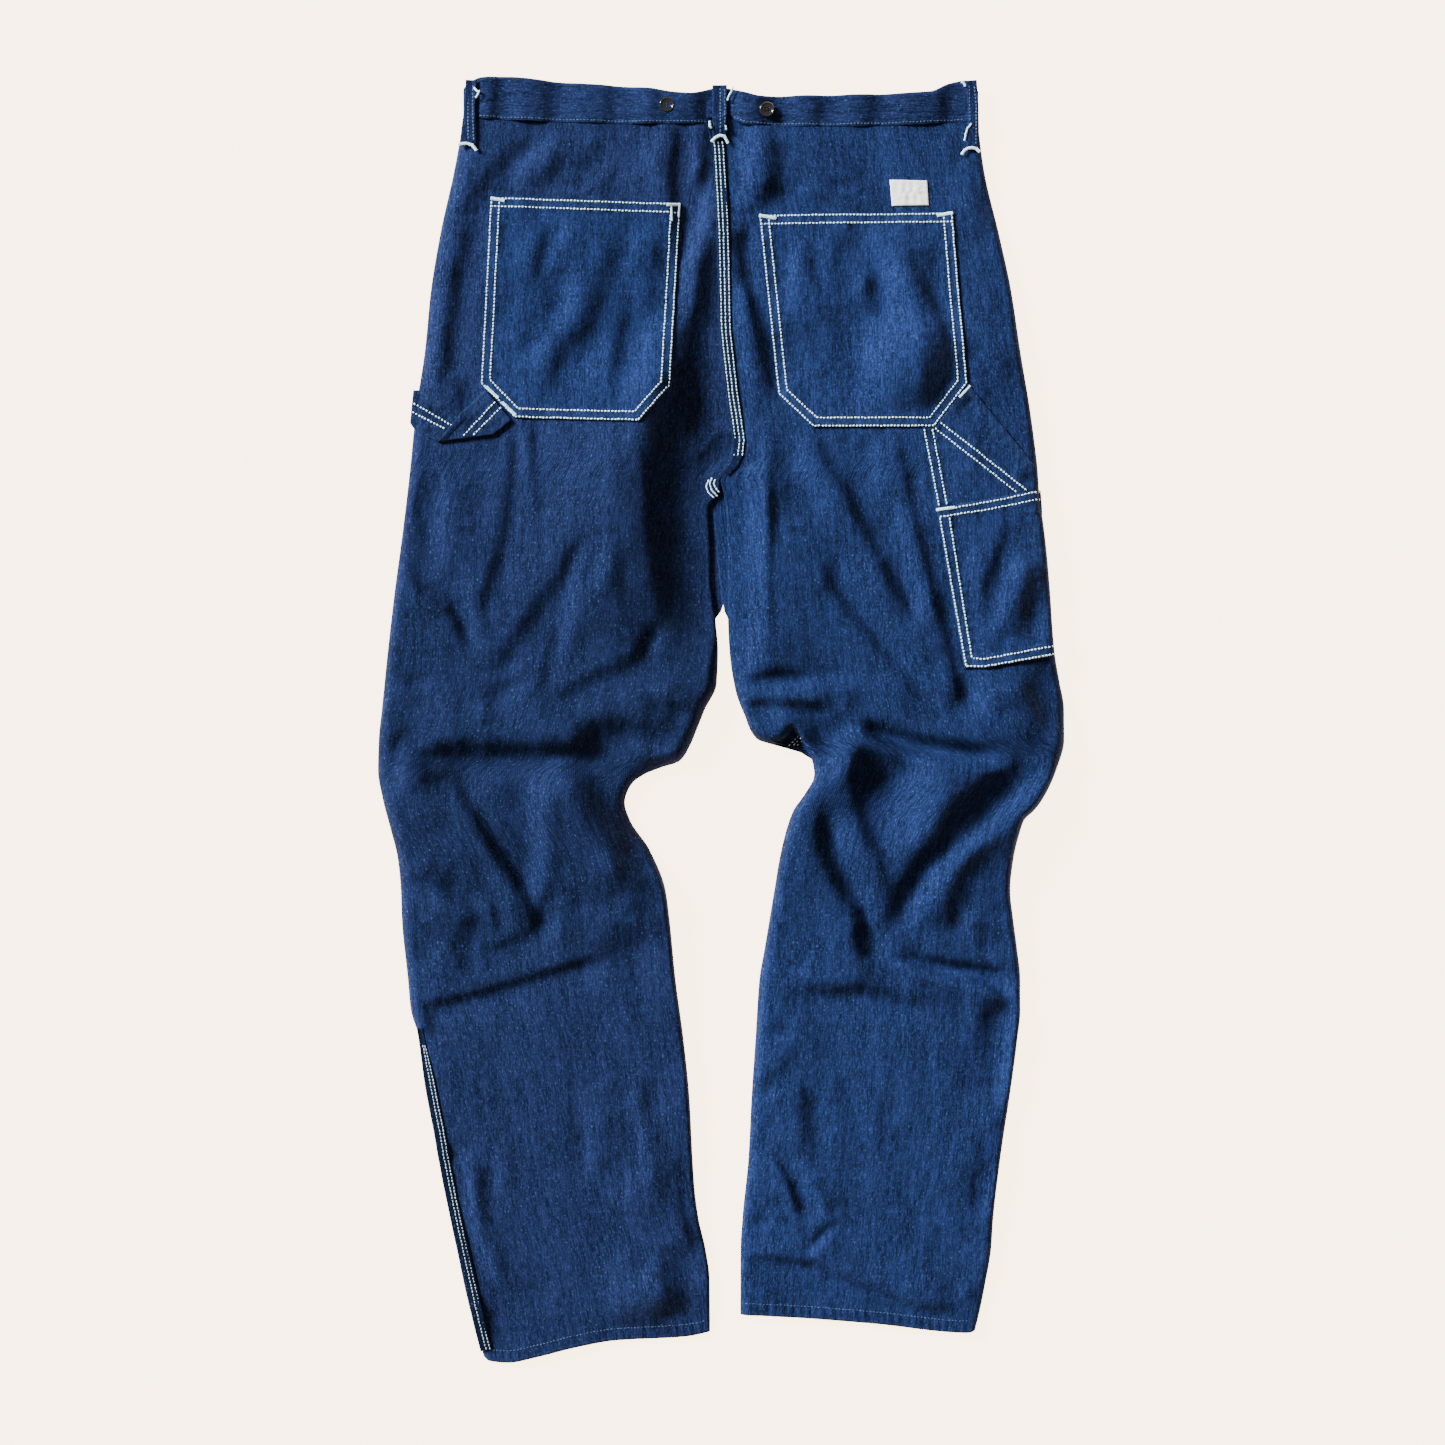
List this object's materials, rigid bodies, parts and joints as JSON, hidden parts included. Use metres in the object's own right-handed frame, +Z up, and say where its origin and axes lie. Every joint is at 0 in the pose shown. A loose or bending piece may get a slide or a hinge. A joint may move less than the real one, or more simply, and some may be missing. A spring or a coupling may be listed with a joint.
{
  "type": "carpenter pants",
  "caption": "Straight-leg denim carpenter pants lying flat, back up, with patch back pockets, a tool pocket, a hammer loop, belt loops and suspender buttons.",
  "frame": {"origin": "centre of the garment's outline on the surface it lies on", "axes": "+Y from the hems to the waist, +X to the wearer's right, +Z up out of the surface, out of the back of the pants"},
  "size_m": [0.5848, 1.093, 0.0319],
  "materials": {
    "denim": "dark indigo twill, matte",
    "strap_denim": "dark indigo twill, folded double, matte",
    "label_cloth": "pale woven cloth, blank",
    "gloss_black": "glossy black"
  },
  "bodies": {
    "root": {"front_left": "denim", "front_right": "denim", "back_left": "denim", "back_right": "denim", "waistband": "denim", "fly": "denim", "back_pocket_left": "denim", "back_pocket_right": "denim", "tool_pocket_upper": "denim", "tool_pocket_lower": "denim", "hammer_loop": "strap_denim", "belt_loop_left": "strap_denim", "belt_loop_center": "strap_denim", "belt_loop_right": "strap_denim", "label": "label_cloth", "suspender_button_left": "gloss_black", "suspender_button_right": "gloss_black", "waist_button": "gloss_black"}
  },
  "joints": []
}
